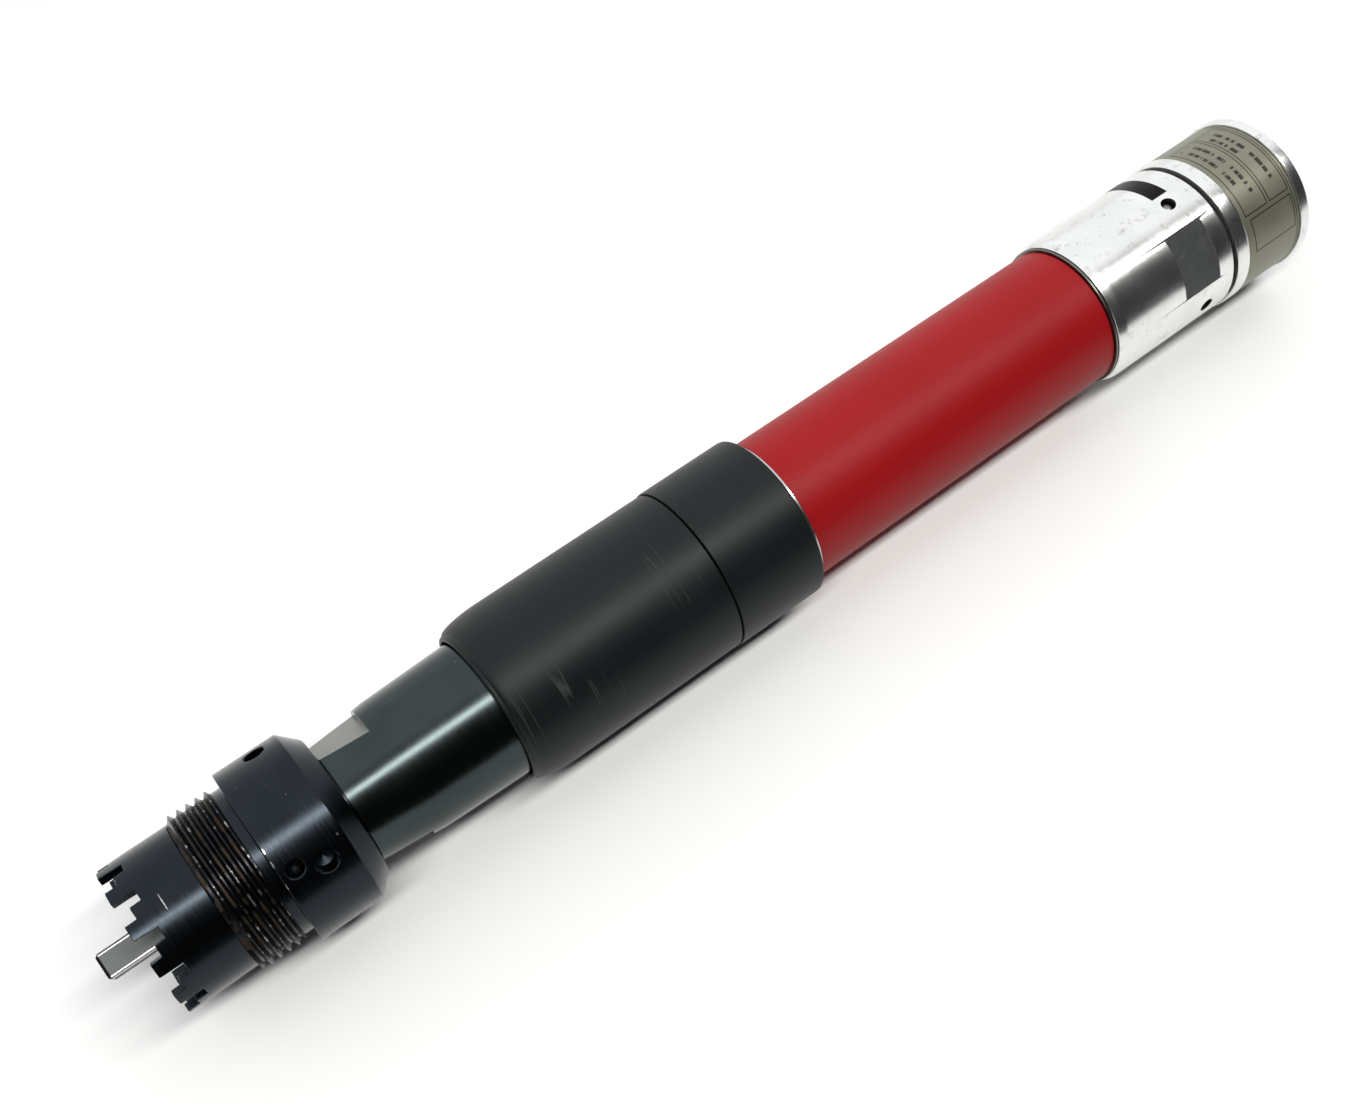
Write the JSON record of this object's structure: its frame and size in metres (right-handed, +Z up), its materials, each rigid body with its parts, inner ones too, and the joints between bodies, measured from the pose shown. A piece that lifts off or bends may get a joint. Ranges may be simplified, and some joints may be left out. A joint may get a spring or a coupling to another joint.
{
  "type": "pneumatic screwdriving spindle",
  "caption": "Slim in-line air screwdriving spindle: square drive in a castellated threaded nose, ball clutch, planetary gear, vane motor, red tube, aluminium rear head.",
  "frame": {"origin": "middle of the tool's length, on the surface that it lies on", "axes": "+X along the tool from the square drive to the air inlet, +Z up, Y across"},
  "size_m": [0.3494, 0.0434, 0.0434],
  "materials": {
    "black_steel": "black oxide on turned steel, worn at the edges",
    "ground_steel": "ground steel",
    "bright_steel": "polished steel",
    "black_plastic": "satin moulded plastic, lightly scratched",
    "red_coat": "fine-textured powder coat",
    "aluminium": "turned aluminium, satin",
    "olive_band": "anodised olive grey, blank",
    "rubber": "nitrile rubber",
    "spring_steel": "oil-tempered spring wire",
    "bronze": "machined bronze",
    "composite": "phenolic laminate",
    "felt": "pressed felt"
  },
  "bodies": {
    "housing": {"nose_piece": "black_steel", "nose_bearing": "bright_steel", "nose_seal": "rubber", "nose_circlip": "spring_steel", "nose_lock_screw": "black_steel", "clutch_housing": "black_steel", "sleeve_o_ring": "rubber", "shaft_bearing": "bright_steel", "ring_gear": "ground_steel", "front_end_plate": "ground_steel", "rotor_front_bearing": "bright_steel", "cylinder_liner": "ground_steel", "liner_pin": "bright_steel", "rear_end_plate": "ground_steel", "rotor_rear_bearing": "bright_steel", "cover_ring": "black_plastic", "front_edge_ring": "bright_steel", "motor_tube": "red_coat", "rear_edge_ring": "black_steel", "rear_head": "aluminium", "head_pin_1": "bright_steel", "head_pin_2": "bright_steel", "head_pin_3": "bright_steel", "head_pin_4": "bright_steel", "valve_seat": "bronze", "valve_spring": "spring_steel", "groove_o_ring": "rubber", "end_cap": "aluminium", "inlet_bushing": "aluminium", "name_band": "olive_band", "inlet_strainer": "bronze", "exhaust_silencer": "felt"},
    "sleeve": {"front_sleeve": "black_plastic"},
    "spindle": {"output_spindle": "ground_steel"},
    "clutch_drive": {"clutch_shaft": "ground_steel", "carrier_2": "ground_steel", "adjusting_nut": "bronze", "clutch_spring": "spring_steel"},
    "clutch_plate": {"clutch_follower": "ground_steel", "spring_washer": "ground_steel", "clutch_ball_1": "bright_steel", "clutch_ball_2": "bright_steel", "clutch_ball_3": "bright_steel"},
    "first_carrier": {"carrier_1": "ground_steel"},
    "planet_1_1": {"planet_1_1": "bright_steel"},
    "planet_1_2": {"planet_1_2": "bright_steel"},
    "planet_1_3": {"planet_1_3": "bright_steel"},
    "planet_2_1": {"planet_2_1": "bright_steel"},
    "planet_2_2": {"planet_2_2": "bright_steel"},
    "planet_2_3": {"planet_2_3": "bright_steel"},
    "motor_rotor": {"rotor": "ground_steel", "sun_gear": "bright_steel", "vane_1": "composite", "vane_2": "composite", "vane_3": "composite", "vane_4": "composite", "vane_5": "composite"},
    "valve_train": {"shutoff_valve": "bronze", "push_rod": "bright_steel"}
  },
  "joints": [
    {"name": "rotor_spin", "type": "hinge", "parent": "housing", "child": "motor_rotor", "pos_m": [0, 0, 0.0217], "axis": [1, 0, 0], "continuous": true},
    {"name": "first_carrier_spin", "type": "hinge", "parent": "housing", "child": "first_carrier", "pos_m": [0, 0, 0.0217], "axis": [1, 0, 0], "continuous": true},
    {"name": "clutch_drive_spin", "type": "hinge", "parent": "housing", "child": "clutch_drive", "pos_m": [0, 0, 0.0217], "axis": [1, 0, 0], "continuous": true},
    {"name": "spindle_spin", "type": "hinge", "parent": "housing", "child": "spindle", "pos_m": [0, 0, 0.0217], "axis": [1, 0, 0], "continuous": true},
    {"name": "planet_1_1_spin", "type": "hinge", "parent": "first_carrier", "child": "planet_1_1", "pos_m": [0, 0.00945, 0.0217], "axis": [1, 0, 0], "continuous": true},
    {"name": "planet_1_2_spin", "type": "hinge", "parent": "first_carrier", "child": "planet_1_2", "pos_m": [0, -0.00473, 0.02988], "axis": [1, 0, 0], "continuous": true},
    {"name": "planet_1_3_spin", "type": "hinge", "parent": "first_carrier", "child": "planet_1_3", "pos_m": [0, -0.00473, 0.01352], "axis": [1, 0, 0], "continuous": true},
    {"name": "planet_2_1_spin", "type": "hinge", "parent": "clutch_drive", "child": "planet_2_1", "pos_m": [0, 0.00945, 0.0217], "axis": [1, 0, 0], "continuous": true},
    {"name": "planet_2_2_spin", "type": "hinge", "parent": "clutch_drive", "child": "planet_2_2", "pos_m": [0, -0.00473, 0.02988], "axis": [1, 0, 0], "continuous": true},
    {"name": "planet_2_3_spin", "type": "hinge", "parent": "clutch_drive", "child": "planet_2_3", "pos_m": [0, -0.00473, 0.01352], "axis": [1, 0, 0], "continuous": true},
    {"name": "clutch_trip", "type": "slide", "parent": "clutch_drive", "child": "clutch_plate", "axis": [1, 0, 0], "range_m": [0, 0.0016], "stiffness_N_per_m": 6000, "springref_m": -0.003, "deforming": ["clutch_spring"]},
    {"name": "valve_close", "type": "slide", "parent": "housing", "child": "valve_train", "axis": [1, 0, 0], "range_m": [-0.002, 0], "deforming": ["valve_spring"]},
    {"name": "sleeve_slide", "type": "slide", "parent": "housing", "child": "sleeve", "axis": [-1, 0, 0], "range_m": [0, 0.022]}
  ],
  "couplings": [
    {"joint": "first_carrier_spin", "follows": "rotor_spin", "ratio": 0.22222},
    {"joint": "clutch_drive_spin", "follows": "rotor_spin", "ratio": 0.049383},
    {"joint": "spindle_spin", "follows": "rotor_spin", "ratio": 0.049383},
    {"joint": "planet_1_1_spin", "follows": "rotor_spin", "ratio": -0.62222},
    {"joint": "planet_1_2_spin", "follows": "rotor_spin", "ratio": -0.62222},
    {"joint": "planet_1_3_spin", "follows": "rotor_spin", "ratio": -0.62222},
    {"joint": "planet_2_1_spin", "follows": "rotor_spin", "ratio": -0.13827},
    {"joint": "planet_2_2_spin", "follows": "rotor_spin", "ratio": -0.13827},
    {"joint": "planet_2_3_spin", "follows": "rotor_spin", "ratio": -0.13827},
    {"joint": "valve_close", "follows": "clutch_trip", "ratio": -1.25}
  ]
}
